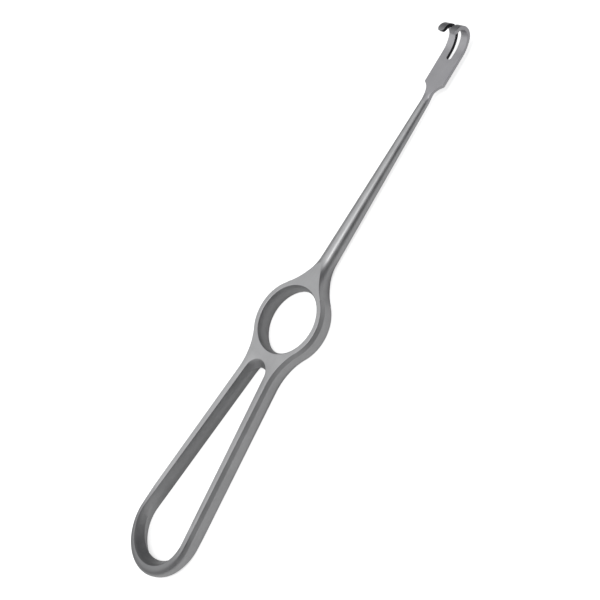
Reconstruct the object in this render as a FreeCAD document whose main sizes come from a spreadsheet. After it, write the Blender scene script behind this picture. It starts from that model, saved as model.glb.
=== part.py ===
"""A blunt two-pronged rake retractor, lying on its back with its prongs up.

Local frame of every piece: X runs along the tool from the grip to the prongs, Z is its thickness,
and the middle of the finger ring is the zero. One placement then stands the whole tool on Z = 0.
"""
import FreeCAD, Part
import Sketcher
import math
import os

from FreeCAD import Vector

os.makedirs("parts", exist_ok=True)
doc = FreeCAD.newDocument("rake_retractor")

# Driving sizes in millimetres
SIZES = {
    "handle_thickness": 6.5,
    "parting_bulge": 0.65,
    "wall_band_height": 3.1,
    "land_edge_radius": 0.28,
    "loop_far_centre": 81.5,
    "loop_far_hole_radius": 12.25,
    "loop_far_bulge": 2.2,
    "loop_far_land": 1.75,
    "loop_far_end_land": 2.1,
    "loop_near_wall": 1.45,
    "loop_near_hole_radius": 5.05,
    "loop_near_bulge": 2.3,
    "web_half_width": 7.6,
    "web_fillet_radius": 21.0,
    "web_seam_wall": 2.3,
    "web_tenon_width": 9.0,
    "web_tenon_thickness": 2.2,
    "web_tenon_length": 1.5,
    "ring_hole_radius": 12.7,
    "ring_land_width": 1.7,
    "ring_hole_bulge": 0.9,
    "boss_fillet_radius": 18.0,
    "boss_sink": 0.08,
    "shaft_root_radius": 3.05,
    "shaft_neck_radius": 1.62,
    "shaft_length": 65.0,
    "root_tenon_radius": 1.4,
    "root_tenon_length": 9.0,
    "neck_tenon_radius": 0.8,
    "neck_tenon_length": 6.0,
    "braze_gap": 0.12,
    "neck_length": 7.8,
    "neck_runout_length": 2.6,
    "neck_spine_length": 10.5,
    "neck_spine_end_radius": 0.3,
    "neck_nose_start": 0.6,
    "neck_nose_width": 0.8,
    "plate_face_height": 1.25,
    "plate_thickness": 1.4,
    "plate_width": 8.8,
    "plate_neck_width": 2.9,
    "shoulder_fillet_radius": 5.5,
    "shoulder_corner_radius": 0.6,
    "slot_start": 10.2,
    "slot_root_width": 2.2,
    "slot_mouth_width": 2.5,
    "rise_start": 13.1,
    "rise_radius": 12.0,
    "rise_angle": 28.0,
    "hook_inner_radius": 2.9,
    "hook_turn": 193.0,
    "prong_tip_radius": 1.15,
}

# Places worked out from the driving sizes
DERIVED = {
    "half": "sizes.handle_thickness / 2",
    "band_half": "sizes.wall_band_height / 2",
    "ring_top_radius": "sizes.ring_hole_radius + sizes.ring_land_width",
    "ring_middle_radius": "ring_top_radius + sizes.parting_bulge",
    "ring_hole_middle": "sizes.ring_hole_radius - sizes.ring_hole_bulge",
    "web_seam_reach": "sizes.ring_hole_radius + sizes.web_seam_wall",
    "far_top_radius": "sizes.loop_far_hole_radius + sizes.loop_far_land",
    "far_middle_radius": "far_top_radius + sizes.parting_bulge",
    "far_top_centre": "sizes.loop_far_centre + sizes.loop_far_end_land - sizes.loop_far_land",
    "far_middle_centre": "far_top_centre + sizes.parting_bulge",
    "flank_height": "sizes.web_half_width + sizes.web_fillet_radius",
    "web_middle_fillet": "sizes.web_fillet_radius - sizes.parting_bulge",
    "far_hole_middle": "sizes.loop_far_hole_radius - sizes.parting_bulge",
    "far_hole_middle_centre": "sizes.loop_far_centre - sizes.loop_far_bulge + sizes.parting_bulge",
    "near_hole_middle": "sizes.loop_near_hole_radius - sizes.parting_bulge",
    "loop_near_centre": "web_seam_reach + sizes.loop_near_wall + sizes.loop_near_hole_radius",
    "near_hole_middle_centre": "loop_near_centre + sizes.loop_near_bulge - sizes.parting_bulge",
    "clear_half": "2 * half",
    "clear_width": "2 * max(ring_middle_radius; far_middle_radius)",
    "ring_wall_radius": "(half ^ 2 + sizes.ring_hole_bulge ^ 2) / (2 * sizes.ring_hole_bulge)",
    "web_tenon_half_width": "sizes.web_tenon_width / 2",
    "web_tenon_half_thickness": "sizes.web_tenon_thickness / 2",
    "web_socket_half_width": "web_tenon_half_width + sizes.braze_gap",
    "web_socket_half_thickness": "web_tenon_half_thickness + sizes.braze_gap",
    "web_socket_depth": "sizes.web_tenon_length + sizes.braze_gap",
    "loop_reach": "far_middle_centre + far_middle_radius",
    "boss_arc_height": "sizes.shaft_root_radius + sizes.boss_fillet_radius",
    "boss_foot_reach": "ring_middle_radius - sizes.boss_sink",
    "boss_reach": "boss_foot_reach + sizes.boss_fillet_radius",
    "boss_end": "sqrt(boss_reach ^ 2 - boss_arc_height ^ 2)",
    "boss_foot": "boss_end * boss_foot_reach / boss_reach",
    "boss_foot_radius": "boss_arc_height * boss_foot_reach / boss_reach",
    "boss_core": "boss_foot - sizes.ring_land_width - sizes.ring_hole_bulge",
    "root_tenon_end": "boss_end - sizes.root_tenon_length",
    "root_socket_end": "root_tenon_end - sizes.braze_gap",
    "root_socket_depth": "sizes.root_tenon_length + sizes.braze_gap",
    "root_socket_radius": "sizes.root_tenon_radius + sizes.braze_gap",
    "neck_seam": "boss_end + sizes.shaft_length",
    "neck_tenon_end": "neck_seam - sizes.neck_tenon_length",
    "neck_socket_end": "neck_tenon_end - sizes.braze_gap",
    "neck_socket_radius": "sizes.neck_tenon_radius + sizes.braze_gap",
    "shoulder": "neck_seam + sizes.neck_length",
    "neck_spine_end": "neck_seam + sizes.neck_spine_length",
    "neck_nose": "neck_seam + sizes.neck_nose_start",
    "neck_nose_half": "sizes.neck_nose_width / 2",
    "runout_end": "neck_seam + sizes.neck_runout_length",
    "plate_half": "sizes.plate_width / 2",
    "plate_neck_half": "sizes.plate_neck_width / 2",
    "shoulder_centre": "sizes.shoulder_fillet_radius - plate_half + plate_neck_half",
    "shoulder_start": "shoulder - sqrt(sizes.shoulder_fillet_radius ^ 2 - shoulder_centre ^ 2)",
    "plate_back": "sizes.plate_face_height - sizes.plate_thickness",
    "rise": "shoulder + sizes.rise_start",
    "rise_centre": "sizes.plate_face_height + sizes.rise_radius",
    "rise_outer_radius": "sizes.rise_radius + sizes.plate_thickness",
    "rise_end": "rise + sizes.rise_radius * sin(sizes.rise_angle)",
    "rise_end_height": "rise_centre - sizes.rise_radius * cos(sizes.rise_angle)",
    "rise_back": "rise + rise_outer_radius * sin(sizes.rise_angle)",
    "rise_back_height": "rise_centre - rise_outer_radius * cos(sizes.rise_angle)",
    "hook_outer_radius": "sizes.hook_inner_radius + sizes.plate_thickness",
    "hook_centre": "rise_end - sizes.hook_inner_radius * sin(sizes.rise_angle)",
    "hook_height": "rise_end_height + sizes.hook_inner_radius * cos(sizes.rise_angle)",
    "tip_inner": "hook_centre + sizes.hook_inner_radius * sin(sizes.hook_turn)",
    "tip_inner_height": "hook_height - sizes.hook_inner_radius * cos(sizes.hook_turn)",
    "tip_outer": "hook_centre + hook_outer_radius * sin(sizes.hook_turn)",
    "tip_outer_height": "hook_height - hook_outer_radius * cos(sizes.hook_turn)",
    "rake_reach": "hook_centre + hook_outer_radius",
    "slot_root_half": "sizes.slot_root_width / 2",
    "slot_mouth_half": "sizes.slot_mouth_width / 2",
    "slot_root": "shoulder + sizes.slot_start + slot_root_half",
    "slot_clear": "rake_reach + sizes.plate_thickness",
    "ring_place": "(loop_reach - rake_reach) / 2",
}

sizes = doc.addObject("Spreadsheet::Sheet", "sizes")
for row, (name, size) in enumerate(SIZES.items(), start=1):
    sizes.set(f"A{row}", name)
    sizes.set(f"B{row}", str(size))
    sizes.setAlias(f"B{row}", name)
doc.recompute()

places = doc.addObject("App::VarSet", "places")
for name, rule in DERIVED.items():
    places.addProperty("App::PropertyFloat", name, "Derived")
    places.setExpression(name, rule)
doc.recompute()


def number(word):
    """The value that a word of the form name, -name or 0 stands for."""
    if word == "0":
        return 0.0
    name = word.lstrip("-")
    value = SIZES[name] if name in SIZES else getattr(places, name)
    return -value if word.startswith("-") else value


def formula(word):
    """The same value as an expression, so that it follows the sheet."""
    name = word.lstrip("-")
    sign = "-" if word.startswith("-") else ""
    return f"{sign}sizes.{name}" if name in SIZES else f"{sign}places.{name}"


def new_body(name):
    body = doc.addObject("PartDesign::Body", name)
    body.Label = name
    body.setExpression("Placement.Base.x", "places.ring_place")
    body.setExpression("Placement.Base.z", "places.half")
    return body


def new_sketch(body, name, role, lift=None):
    """An empty sketch on one of the body's own origin planes, raised along its normal."""
    sketch = body.newObject("Sketcher::SketchObject", name)
    plane = next(item for item in body.Origin.OriginFeatures if item.Role == role)
    sketch.AttachmentSupport = [(plane, "")]
    sketch.MapMode = "FlatFace"
    if lift:
        sketch.setExpression("AttachmentOffset.Base.z", formula(lift))
    return sketch


def bind(sketch, kind, where, word):
    """Adds one dimension to a sketch and ties it to the sheet."""
    index = sketch.addConstraint(Sketcher.Constraint(kind, *where, number(word)))
    sketch.setExpression(f"Constraints[{index}]", formula(word))


def arc_between(start, end, radius, way):
    """The short arc from start to end. way is 1 where its centre lies left of the way, else -1."""
    middle = (start + end) / 2
    chord = end - start
    rise = math.sqrt(max(radius ** 2 - (chord.Length / 2) ** 2, 0.0))
    left = Vector(-chord.y, chord.x, 0).normalize()
    centre = middle + left * rise * way
    angle = [math.atan2(p.y - centre.y, p.x - centre.x) for p in (start, end)]
    if way < 0:
        angle.reverse()
    return Part.ArcOfCircle(Part.Circle(centre, Vector(0, 0, 1), radius), *angle)


def draw_polygon(sketch, corners, arcs=()):
    """A closed outline through named corners. arcs maps a side's number to its radius and way."""
    arcs = dict(arcs)
    points = [Vector(number(x), number(y), 0) for x, y in corners]
    count = len(points)
    sides = []
    for at in range(count):
        start, end = points[at], points[(at + 1) % count]
        if at in arcs:
            word, way = arcs[at]
            side = sketch.addGeometry(arc_between(start, end, number(word), way), False)
            bind(sketch, "Radius", (side,), word)
            sides.append((side, 1, 2) if way > 0 else (side, 2, 1))
        else:
            side = sketch.addGeometry(Part.LineSegment(start, end), False)
            sides.append((side, 1, 2))
    for at, (side, first, last) in enumerate(sides):
        following = sides[(at + 1) % count]
        joint = (side, last, following[0], following[1])
        sketch.addConstraint(Sketcher.Constraint("Coincident", *joint))
    for (side, first, last), (x, y) in zip(sides, corners):
        for kind, word, axis in (("DistanceX", x, -2), ("DistanceY", y, -1)):
            if word == "0":
                sketch.addConstraint(Sketcher.Constraint("PointOnObject", side, first, axis))
            else:
                bind(sketch, kind, (-1, 1, side, first), word)


def draw_circle(sketch, radius, centre_x="0"):
    centre = Vector(number(centre_x), 0, 0)
    sketch.addGeometry(Part.Circle(centre, Vector(0, 0, 1), number(radius)), False)
    if centre_x == "0":
        sketch.addConstraint(Sketcher.Constraint("Coincident", 0, 3, -1, 1))
    else:
        sketch.addConstraint(Sketcher.Constraint("PointOnObject", 0, 3, -1))
        bind(sketch, "DistanceX", (-1, 1, 0, 3), centre_x)
    bind(sketch, "Radius", (0,), radius)


def draw_block(sketch, half_width, low, high):
    """A rectangle centred across and running from low to high."""
    wide = f"-{half_width}"
    draw_polygon(sketch, [(wide, low), (half_width, low), (half_width, high), (wide, high)])


def draw_teardrop(sketch, far_centre, far_radius, near_centre, near_radius):
    """Two rounds on the long axis joined by their outer tangents: the hole of the grip loop."""
    centres = (Vector(-number(far_centre), 0, 0), Vector(-number(near_centre), 0, 0))
    radii = (number(far_radius), number(near_radius))
    lean = math.acos((radii[0] - radii[1]) / (centres[1] - centres[0]).Length)
    upper = [c + Vector(math.cos(lean), math.sin(lean), 0) * r for c, r in zip(centres, radii)]
    lower = [Vector(p.x, -p.y, 0) for p in upper]
    z_axis = Vector(0, 0, 1)
    far = Part.ArcOfCircle(Part.Circle(centres[0], z_axis, radii[0]), lean, 2 * math.pi - lean)
    near = Part.ArcOfCircle(Part.Circle(centres[1], z_axis, radii[1]), -lean, lean)
    sketch.addGeometry([far, Part.LineSegment(lower[0], lower[1]), near,
                        Part.LineSegment(upper[1], upper[0])], False)
    for joint in ((0, 2, 1, 1), (1, 2, 2, 1), (2, 2, 3, 1), (3, 2, 0, 1)):
        sketch.addConstraint(Sketcher.Constraint("Tangent", *joint))
    for side, centre, radius in ((0, far_centre, far_radius), (2, near_centre, near_radius)):
        sketch.addConstraint(Sketcher.Constraint("PointOnObject", side, 3, -1))
        bind(sketch, "DistanceX", (side, 3, -1, 1), centre)
        bind(sketch, "Radius", (side,), radius)


def draw_handle(sketch, far_centre, far_radius, fillet, ring_radius):
    """The plan of loop, web and ring: a far round, two arms, two concave flanks and the ring."""
    far, bend, ring = number(far_radius), number(fillet), number(ring_radius)
    height = number("flank_height")
    far_point = Vector(-number(far_centre), 0, 0)
    flank = Vector(-math.sqrt((ring + bend) ** 2 - height ** 2), height, 0)
    between = flank - far_point
    lean = math.atan2(between.y, between.x) + math.acos((far + bend) / between.Length)
    normal = Vector(math.cos(lean), math.sin(lean), 0)
    arm = (far_point + normal * far, flank - normal * bend)
    foot = flank * (ring / flank.Length)

    def arc(centre, radius, first, last):
        angle = [math.atan2(p.y - centre.y, p.x - centre.x) for p in (first, last)]
        return Part.ArcOfCircle(Part.Circle(centre, Vector(0, 0, 1), radius), *angle)

    def mirrored(point):
        return Vector(point.x, -point.y, 0)

    sketch.addGeometry([
        arc(far_point, far, arm[0], mirrored(arm[0])),
        Part.LineSegment(mirrored(arm[0]), mirrored(arm[1])),
        arc(mirrored(flank), bend, mirrored(foot), mirrored(arm[1])),
        arc(Vector(0, 0, 0), ring, mirrored(foot), foot),
        arc(flank, bend, arm[1], foot),
        Part.LineSegment(arm[1], arm[0]),
    ], False)
    for joint in ((0, 2, 1, 1), (1, 2, 2, 2), (2, 1, 3, 1), (3, 2, 4, 2), (4, 1, 5, 1), (5, 2, 0, 1)):
        sketch.addConstraint(Sketcher.Constraint("Tangent", *joint))
    sketch.addConstraint(Sketcher.Constraint("PointOnObject", 0, 3, -1))
    sketch.addConstraint(Sketcher.Constraint("Coincident", 3, 3, -1, 1))
    bind(sketch, "DistanceX", (0, 3, -1, 1), far_centre)
    bind(sketch, "Radius", (0,), far_radius)
    bind(sketch, "Radius", (3,), ring_radius)
    for side, word in ((2, "-flank_height"), (4, "flank_height")):
        bind(sketch, "Radius", (side,), fillet)
        bind(sketch, "DistanceY", (-1, 1, side, 3), word)


def grown(body, feature, sign):
    """Recomputes and makes sure that the feature added material, or with sign -1 took some away."""
    before = feature.BaseFeature.Shape.Volume if feature.BaseFeature else 0.0
    doc.recompute()
    if (feature.Shape.Volume - before) * sign <= 0:
        raise RuntimeError(f"{body.Label}: {feature.Label} changes nothing or the wrong way")
    return feature


def extrude(body, kind, name, sketch, length=None, away=False):
    """A Pad or Pocket of a named length, or through everything where none is given."""
    feature = body.newObject(f"PartDesign::{kind}", name)
    feature.Profile = sketch
    feature.Reversed = away
    if length:
        feature.setExpression("Length", formula(length))
    else:
        feature.Type = "ThroughAll"
    return grown(body, feature, 1 if kind == "Pad" else -1)


def both_ways(body, kind, name, sketch, length=None):
    """A Pad or Pocket to both sides of its sketch, through everything where no length is given."""
    feature = body.newObject(f"PartDesign::{kind}", name)
    feature.Profile = sketch
    feature.Midplane = True
    if length:
        feature.setExpression("Length", formula(length))
    else:
        feature.Type = "ThroughAll"
    return grown(body, feature, 1 if kind == "Pad" else -1)


def turn(body, kind, name, sketch, axis, angle=360.0, away=False):
    """A Revolution or Groove about an axis of the sketch."""
    feature = body.newObject(f"PartDesign::{kind}", name)
    feature.Profile = sketch
    feature.ReferenceAxis = (sketch, [axis])
    feature.Angle = angle
    feature.Reversed = away
    return grown(body, feature, 1 if kind == "Revolution" else -1)


def barrel_lofts(body, kind, name, draw, middle, face, band=None):
    """Walls that lean from a middle plan to each flat face, with an upright band where one is named."""
    if band:
        upright = new_sketch(body, f"{name}_band_plan", "XY_Plane")
        draw(upright, *middle)
        both_ways(body, "Pad", f"{name}_band", upright, band)
    for side, lift in (("top", "half"), ("bottom", "-half")):
        sign = "-" if lift.startswith("-") else ""
        waist = new_sketch(body, f"{name}_{side}_middle", "XY_Plane", f"{sign}band_half" if band else None)
        draw(waist, *middle)
        plan = new_sketch(body, f"{name}_{side}", "XY_Plane", lift)
        draw(plan, *face)
        doc.recompute()
        feature = body.newObject(f"PartDesign::{kind}", f"{name}_{side}_loft")
        feature.Profile = waist
        feature.Sections = [(plan, [""])]
        feature.Ruled = True
        grown(body, feature, 1 if kind == "AdditiveLoft" else -1)


def edges_where(shape, test):
    """The names of the edges whose ends and middle all pass the test."""
    names = []
    for index, edge in enumerate(shape.Edges, start=1):
        first, last = edge.ParameterRange
        points = [edge.valueAt(at) for at in (first, (first + last) / 2, last)]
        if all(test(point) for point in points):
            names.append(f"Edge{index}")
    return names


def edges_across(shape, first, last):
    """The names of the edges that run from one place of the side view to another."""
    names = []
    for index, edge in enumerate(shape.Edges, start=1):
        ends = [Vector(vertex.X, 0, vertex.Z) for vertex in edge.Vertexes]
        for way in (ends, ends[::-1]):
            if len(way) == 2 and way[0].isEqual(first, 1e-4) and way[1].isEqual(last, 1e-4):
                names.append(f"Edge{index}")
    return names


def round_edges(body, name, radius, test):
    round_named(body, name, radius, edges_where(body.Tip.Shape, test))


def round_named(body, name, radius, names):
    base = body.Tip
    if not names:
        raise RuntimeError(f"{body.Label}: {name} finds no edge")
    feature = body.newObject("PartDesign::Fillet", name)
    feature.Base = (base, names)
    feature.setExpression("Radius", formula(radius))
    doc.recompute()


def near(value, word):
    return abs(value - number(word)) < 1e-4


def on_land(point):
    return near(abs(point.z), "half")


def handle_blank(body):
    """The forged blank of loop, web and ring, before holes and seams."""
    barrel_lofts(body, "AdditiveLoft", "blank", draw_handle,
                 ("far_middle_centre", "far_middle_radius", "web_middle_fillet", "ring_middle_radius"),
                 ("far_top_centre", "far_top_radius", "web_fillet_radius", "ring_top_radius"),
                 "wall_band_height")


def seam_block(body, name, half_width, half_thickness):
    sketch = new_sketch(body, name, "YZ_Plane", "-web_seam_reach")
    draw_block(sketch, half_width, f"-{half_thickness}", half_thickness)
    return sketch


def make_grip_loop():
    body = new_body("grip_loop")
    handle_blank(body)
    barrel_lofts(body, "SubtractiveLoft", "hole", draw_teardrop,
                 ("far_hole_middle_centre", "far_hole_middle",
                  "near_hole_middle_centre", "near_hole_middle"),
                 ("loop_far_centre", "loop_far_hole_radius",
                  "loop_near_centre", "loop_near_hole_radius"))
    beyond = seam_block(body, "beyond_seam", "clear_width", "clear_half")
    extrude(body, "Pocket", "seam_cut", beyond, away=True)
    round_edges(body, "land_edges", "land_edge_radius",
                lambda p: on_land(p) and not near(p.x, "-web_seam_reach"))
    socket = seam_block(body, "socket", "web_socket_half_width", "web_socket_half_thickness")
    extrude(body, "Pocket", "tenon_socket", socket, "web_socket_depth")
    return body


def make_finger_ring():
    body = new_body("finger_ring")
    handle_blank(body)
    beyond = seam_block(body, "beyond_seam", "clear_width", "clear_half")
    extrude(body, "Pocket", "seam_cut", beyond)

    boss = new_sketch(body, "boss_profile", "XZ_Plane")
    draw_polygon(boss, [("boss_core", "0"), ("boss_end", "0"), ("boss_end", "shaft_root_radius"),
                        ("boss_foot", "boss_foot_radius"), ("boss_core", "boss_foot_radius")],
                 {2: ("boss_fillet_radius", -1)})
    turn(body, "Revolution", "boss", boss, "H_Axis")
    for side, lift, away in (("top", "half", True), ("bottom", "-half", False)):
        slab = new_sketch(body, f"{side}_grinding", "XY_Plane", lift)
        draw_polygon(slab, [("boss_core", "-boss_foot_radius"), ("boss_end", "-boss_foot_radius"),
                            ("boss_end", "boss_foot_radius"), ("boss_core", "boss_foot_radius")])
        extrude(body, "Pocket", f"{side}_land", slab, away=away)

    wall = new_sketch(body, "hole_profile", "XZ_Plane")
    draw_polygon(wall, [("0", "-clear_half"), ("ring_hole_radius", "-clear_half"),
                        ("ring_hole_radius", "-half"), ("ring_hole_radius", "half"),
                        ("ring_hole_radius", "clear_half"), ("0", "clear_half")],
                 {2: ("ring_wall_radius", -1)})
    turn(body, "Groove", "finger_hole", wall, "V_Axis")
    round_edges(body, "land_edges", "land_edge_radius",
                lambda p: on_land(p) and not near(p.x, "-web_seam_reach"))

    tenon = seam_block(body, "tenon", "web_tenon_half_width", "web_tenon_half_thickness")
    extrude(body, "Pad", "web_tenon", tenon, "web_tenon_length", away=True)
    socket = new_sketch(body, "shaft_socket", "YZ_Plane", "boss_end")
    draw_circle(socket, "root_socket_radius")
    extrude(body, "Pocket", "root_socket", socket, "root_socket_depth")
    return body


def make_web_braze():
    body = new_body("web_braze")
    outer = seam_block(body, "outer", "web_socket_half_width", "web_socket_half_thickness")
    extrude(body, "Pad", "filler", outer, "web_socket_depth", away=True)
    inner = seam_block(body, "inner", "web_tenon_half_width", "web_tenon_half_thickness")
    extrude(body, "Pocket", "tenon_space", inner, "web_tenon_length")
    return body


def make_turned(name, corners):
    """A piece turned about the long axis."""
    body = new_body(name)
    profile = new_sketch(body, f"{name}_profile", "XZ_Plane")
    draw_polygon(profile, corners)
    turn(body, "Revolution", f"{name}_turned", profile, "H_Axis")
    return body


def make_shaft():
    return make_turned("shaft", [
        ("root_tenon_end", "0"), ("root_tenon_end", "root_tenon_radius"),
        ("boss_end", "root_tenon_radius"), ("boss_end", "shaft_root_radius"),
        ("neck_seam", "shaft_neck_radius"), ("neck_seam", "neck_socket_radius"),
        ("neck_socket_end", "neck_socket_radius"), ("neck_socket_end", "0"),
    ])


def make_sleeve(name, seam, end, bottom, inner, outer):
    """The thin filler cup round a tenon, from the seam to the bottom of its socket."""
    return make_turned(name, [(bottom, "0"), (end, "0"), (end, inner), (seam, inner),
                              (seam, outer), (bottom, outer)])


def make_rake_head():
    body = new_body("rake_head")
    side = new_sketch(body, "strip_profile", "XZ_Plane")
    draw_polygon(side, [("neck_nose", "plate_back"), ("rise", "plate_back"),
                        ("rise_back", "rise_back_height"), ("tip_outer", "tip_outer_height"),
                        ("tip_inner", "tip_inner_height"), ("rise_end", "rise_end_height"),
                        ("rise", "plate_face_height"), ("neck_nose", "plate_face_height")],
                 {1: ("rise_outer_radius", 1), 2: ("hook_outer_radius", 1),
                  4: ("hook_inner_radius", -1), 5: ("rise_radius", -1)})
    both_ways(body, "Pad", "strip", side, "plate_width")

    waste = new_sketch(body, "shoulder_plan", "XY_Plane")
    for mirror in ("", "-"):
        inner, neck = f"{mirror}neck_nose_half", f"{mirror}plate_neck_half"
        edge, clear = f"{mirror}plate_half", f"{mirror}plate_width"
        way = -1 if mirror else 1
        draw_polygon(waste, [("neck_seam", inner), ("neck_nose", inner), ("shoulder_start", neck),
                             ("shoulder", edge), ("shoulder", clear), ("neck_seam", clear)],
                     {2: ("shoulder_fillet_radius", way)})
    both_ways(body, "Pocket", "shoulders", waste)
    round_edges(body, "shoulder_corners", "shoulder_corner_radius",
                lambda p: near(p.x, "shoulder") and near(abs(p.y), "plate_half"))

    slot = new_sketch(body, "slot_plan", "XY_Plane")
    draw_polygon(slot, [("slot_root", "-slot_root_half"), ("rise_end", "-slot_mouth_half"),
                        ("slot_clear", "-slot_mouth_half"), ("slot_clear", "slot_mouth_half"),
                        ("rise_end", "slot_mouth_half"), ("slot_root", "slot_root_half")])
    both_ways(body, "Pocket", "slot", slot)
    root = new_sketch(body, "slot_root_plan", "XY_Plane")
    draw_circle(root, "slot_root_half", "slot_root")
    both_ways(body, "Pocket", "slot_end", root)

    inner = Vector(number("tip_inner"), 0, number("tip_inner_height"))
    outer = Vector(number("tip_outer"), 0, number("tip_outer_height"))
    round_named(body, "tip_corners", "prong_tip_radius", edges_across(body.Tip.Shape, inner, outer))

    neck = new_sketch(body, "neck_profile", "XZ_Plane")
    draw_polygon(neck, [("neck_tenon_end", "0"), ("neck_tenon_end", "-neck_tenon_radius"),
                        ("neck_seam", "-neck_tenon_radius"), ("neck_seam", "-shaft_neck_radius"),
                        ("neck_spine_end", "-neck_spine_end_radius"), ("neck_spine_end", "0")])
    turn(body, "Revolution", "neck", neck, "H_Axis")
    runout = new_sketch(body, "runout_profile", "XZ_Plane")
    draw_polygon(runout, [("neck_seam", "shaft_neck_radius"), ("runout_end", "plate_face_height"),
                          ("neck_spine_end", "plate_face_height"),
                          ("neck_spine_end", "shaft_root_radius"), ("neck_seam", "shaft_root_radius")])
    both_ways(body, "Pocket", "neck_flat", runout)
    return body


pieces = [
    make_grip_loop(),
    make_finger_ring(),
    make_web_braze(),
    make_shaft(),
    make_sleeve("root_braze", "boss_end", "root_tenon_end", "root_socket_end",
                "root_tenon_radius", "root_socket_radius"),
    make_rake_head(),
    make_sleeve("neck_braze", "neck_seam", "neck_tenon_end", "neck_socket_end",
                "neck_tenon_radius", "neck_socket_radius"),
]
doc.recompute()

for item in doc.Objects:
    if {"Invalid", "Error"} & set(item.State):
        raise RuntimeError(f"{item.Name} failed: {item.State}")
for piece in pieces:
    for step in piece.Group:
        if step.isDerivedFrom("PartDesign::Feature"):
            shape = step.Shape
            if shape.isNull() or not shape.isValid() or len(shape.Solids) != 1:
                raise RuntimeError(f"{piece.Label} is not one valid solid after {step.Name}")

for piece in pieces:
    piece.Shape.exportStep(f"parts/{piece.Label}.step")
    box = piece.Shape.optimalBoundingBox(False)
    print(f"{piece.Label}: volume {piece.Shape.Volume:.1f}, x {box.XMin:.2f} to {box.XMax:.2f}, "
          f"y {box.YMin:.2f} to {box.YMax:.2f}, z {box.ZMin:.2f} to {box.ZMax:.2f}")
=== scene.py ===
# %% [markdown]
# # A blunt rake retractor, dressed in satin steel
#
# The retractor is a bare steel tool: a long open grip loop, a finger ring, a slim tapered shaft
# and a flat slotted plate whose two prongs bend back into hooks. Nothing on it is painted, sewn
# or moulded, so its looks come from three things only: clean smooth forms, a fine ground finish
# and a soft studio that the steel can mirror.

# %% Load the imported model
import math

import bmesh
import bpy
from mathutils import Matrix, Vector


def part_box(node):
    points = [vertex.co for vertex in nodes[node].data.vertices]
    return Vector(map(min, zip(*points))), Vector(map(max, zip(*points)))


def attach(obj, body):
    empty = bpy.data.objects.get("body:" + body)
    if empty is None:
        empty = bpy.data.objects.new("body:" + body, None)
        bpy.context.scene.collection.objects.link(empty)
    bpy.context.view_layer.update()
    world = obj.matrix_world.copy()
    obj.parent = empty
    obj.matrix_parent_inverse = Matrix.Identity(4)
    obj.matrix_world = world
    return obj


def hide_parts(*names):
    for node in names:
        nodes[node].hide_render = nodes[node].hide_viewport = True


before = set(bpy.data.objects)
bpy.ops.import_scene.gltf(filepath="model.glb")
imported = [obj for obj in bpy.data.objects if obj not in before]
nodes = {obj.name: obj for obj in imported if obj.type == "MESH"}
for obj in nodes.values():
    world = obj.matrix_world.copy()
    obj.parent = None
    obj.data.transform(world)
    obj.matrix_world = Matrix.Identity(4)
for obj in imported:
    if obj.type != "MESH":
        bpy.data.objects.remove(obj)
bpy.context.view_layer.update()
MM = 0.001
for name in sorted(nodes):
    low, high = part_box(name)
    print(f"{name}: x {low.x / MM:.1f} to {high.x / MM:.1f} mm, {len(nodes[name].data.polygons)} faces")

# %% [markdown]
# ## Helpers for materials
#
# A finish is a small tree of nodes: some say where a point lies, some turn that into a pattern,
# and the last one is the steel itself. Wiring each node by hand takes four lines and hides the
# idea. So four helpers do the wiring: the first adds a node and writes its fixed numbers, the
# second carries a value from one span of numbers into another, the third joins two values, and
# the fourth blends two colours. Each returns what the next node needs.

# %% Add a node, and carry a value from span to span
def add(tree, kind, place, **sockets):
    """A node of one kind at a place in the tree, with constants written to its own sockets."""
    node = tree.nodes.new(kind)
    node.location = place
    for name, value in sockets.items():
        node.inputs[name.replace("_", " ")].default_value = value
    return node


def ranged(tree, value, span, place, into=(0.0, 1.0)):
    """Carries a value from one span of numbers into another and stops at its ends."""
    node = add(tree, "ShaderNodeMapRange", place,
               From_Min=span[0], From_Max=span[1], To_Min=into[0], To_Max=into[1])
    tree.links.new(value, node.inputs["Value"])
    return node.outputs["Result"]


# %% Join two values, and blend two colours
# A Mix node has sockets for numbers and vectors too. These three are the ones for colours.
MIX_FIRST, MIX_SECOND, MIX_RESULT = 6, 7, 2


def joined(tree, operation, first, second, place):
    """Two values made one: their sum, their product or the larger of them."""
    node = add(tree, "ShaderNodeMath", place)
    node.operation = operation
    tree.links.new(first, node.inputs[0])
    tree.links.new(second, node.inputs[1])
    return node.outputs[0]


def blended(tree, share, first, second, place):
    """The first colour where the share is 0 and the second where it is 1. Each may be an output."""
    node = add(tree, "ShaderNodeMix", place)
    node.data_type = "RGBA"
    tree.links.new(share, node.inputs["Factor"])
    for index, colour in ((MIX_FIRST, first), (MIX_SECOND, second)):
        if isinstance(colour, bpy.types.NodeSocket):
            tree.links.new(colour, node.inputs[index])
        else:
            node.inputs[index].default_value = colour
    return node.outputs[MIX_RESULT]


# %% [markdown]
# ## The satin ground finish
#
# Instruments like this are ground on belts and then blasted or brushed until they glare less
# under a theatre lamp. Close up, the surface has very fine scratches that run along the tool and
# faint cloudy patches where one belt mark ends and the next starts. One flat roughness would
# look like grey plastic. So the finish stretches a noise along the tool for the scratches, adds
# a broad one for the clouds and a fine one for the grain, and lets them change the grey, the
# roughness and a very low bump.

# %% Lay scratches, clouds and grain
# The scales of the noises. The larger a scale is, the finer is its noise.
SCRATCH_STRETCH = (90.0, 2600.0, 2600.0)
CLOUD_SCALE = 160.0
GRAIN_SCALE = 5200.0


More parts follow.
